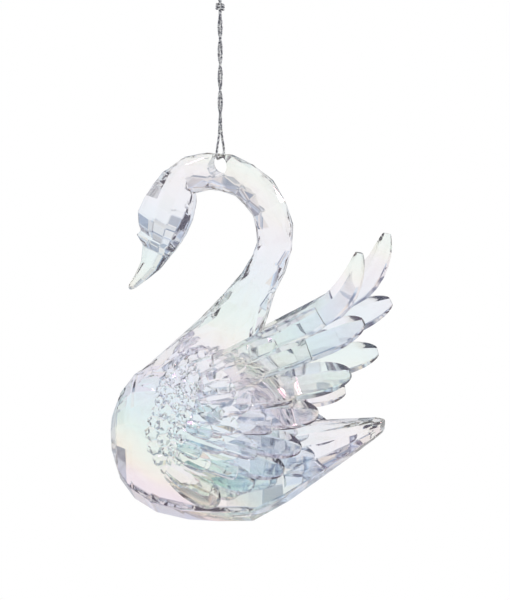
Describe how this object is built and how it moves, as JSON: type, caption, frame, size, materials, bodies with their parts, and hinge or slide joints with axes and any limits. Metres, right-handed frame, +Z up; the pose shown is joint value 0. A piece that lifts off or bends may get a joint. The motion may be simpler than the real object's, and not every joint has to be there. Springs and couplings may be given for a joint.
{
  "type": "swan figurine",
  "caption": "Clear pearlescent acrylic swan figurine with a faceted neck and layered feather wings, hanging by a silver cord through its neck.",
  "frame": {"origin": "crown of the small eye at the top of the hanging cord, where the figurine is held up", "axes": "+Z up along the hanging cord; the bill points along -X and the tail along +X; the swan's middle plane is XZ, with one wing on each side of it"},
  "size_m": [0.0856, 0.0434, 0.1648],
  "materials": {
    "clear_pearl_acrylic": "clear moulded acrylic with a faint pearl coat that turns lilac, mint and pale yellow",
    "silver_cord": "thin twisted silver metallic cord"
  },
  "bodies": {
    "root": {"swan": "clear_pearl_acrylic", "hanging_cord": "silver_cord", "cord_knot": "silver_cord"}
  },
  "joints": []
}
